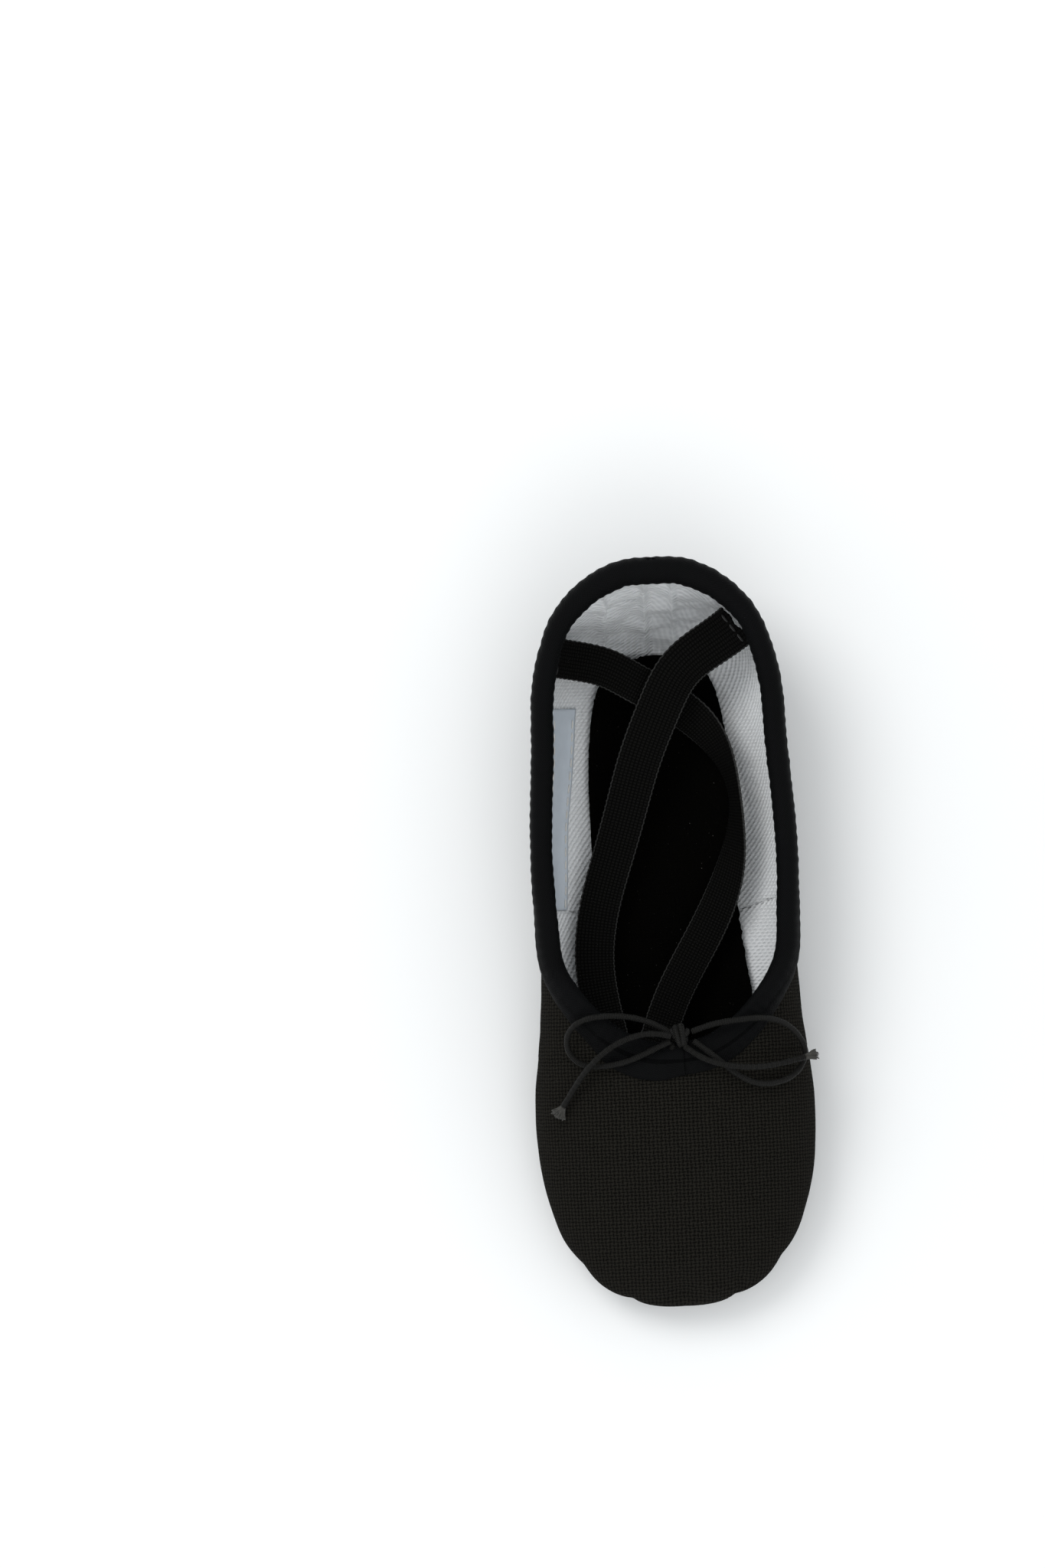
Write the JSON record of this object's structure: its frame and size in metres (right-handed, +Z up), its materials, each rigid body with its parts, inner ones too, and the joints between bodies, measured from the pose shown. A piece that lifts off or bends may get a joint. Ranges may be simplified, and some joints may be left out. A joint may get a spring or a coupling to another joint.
{
  "type": "ballet slipper",
  "caption": "Soft canvas split-sole ballet slipper with a drawstring bow and two crossed elastic straps, empty, standing on its sole.",
  "frame": {"origin": "on the floor, under the middle of the slipper's box", "axes": "+Z up, +Y towards the heel, -Y towards the toe, X across"},
  "size_m": [0.0886, 0.2298, 0.0557],
  "materials": {
    "canvas": "black cotton canvas, plain weave, matt",
    "lining": "white cotton twill, matt",
    "suede": "off-white suede, napped",
    "white_thread": "white sewing thread",
    "black_thread": "black sewing thread",
    "padding": "thin felt padding",
    "insole_cloth": "black brushed cloth with a short nap",
    "label_satin": "white woven satin, blank",
    "elastic": "black ribbed woven elastic",
    "binding_tape": "black twill tape, slight sheen",
    "cord": "black wound elastic cord"
  },
  "bodies": {
    "forefoot": {"vamp": "canvas", "vamp_lining": "lining", "forefoot_pad": "padding", "front_patch": "suede", "front_patch_edge_stitching": "white_thread", "front_patch_inner_stitching": "white_thread", "insole": "insole_cloth"},
    "heel": {"left_quarter": "canvas", "right_quarter": "canvas", "left_quarter_lining": "lining", "right_quarter_lining": "lining", "heel_strip": "canvas", "heel_lining": "lining", "heel_pad": "padding", "heel_patch": "suede", "heel_patch_stitching": "white_thread", "topline_binding": "binding_tape", "drawstring_in_casing": "cord", "size_label": "label_satin", "label_stitching": "white_thread", "strap_tacks": "black_thread"},
    "over_strap": {"strap_over": "elastic"},
    "under_strap": {"strap_under": "elastic"},
    "bow": {"bow_knot": "cord", "bow_loop_left": "cord", "bow_loop_right": "cord", "cord_tail_left": "cord", "cord_tail_right": "cord", "cord_tip_left": "cord", "cord_tip_right": "cord"}
  },
  "joints": [
    {"name": "heel_lift", "type": "hinge", "parent": "forefoot", "child": "heel", "pos_m": [0, -0.03, 0], "axis": [1, 0, 0], "range_deg": [0, 45], "deforming": ["left_quarter", "right_quarter", "left_quarter_lining", "right_quarter_lining", "topline_binding", "drawstring_in_casing", "insole", "size_label", "label_stitching"]},
    {"name": "strap_over_lift", "type": "hinge", "parent": "heel", "child": "over_strap", "pos_m": [0.0252, 0.0936, 0.0426], "axis": [0.3183, 0.9295, 0.1865], "range_deg": [0, 120], "deforming": ["strap_over"]},
    {"name": "strap_under_lift", "type": "hinge", "parent": "heel", "child": "under_strap", "pos_m": [-0.0306, 0.0864, 0.0416], "axis": [0.2039, -0.9592, -0.196], "range_deg": [0, 48], "deforming": ["strap_under"]},
    {"name": "bow_pull", "type": "slide", "parent": "forefoot", "child": "bow", "axis": [0, 0, 1], "range_m": [0, 0.012], "stiffness_N_per_m": 30}
  ],
  "couplings": [
    {"joint": "strap_under_lift", "follows": "strap_over_lift", "ratio": 0.4}
  ]
}
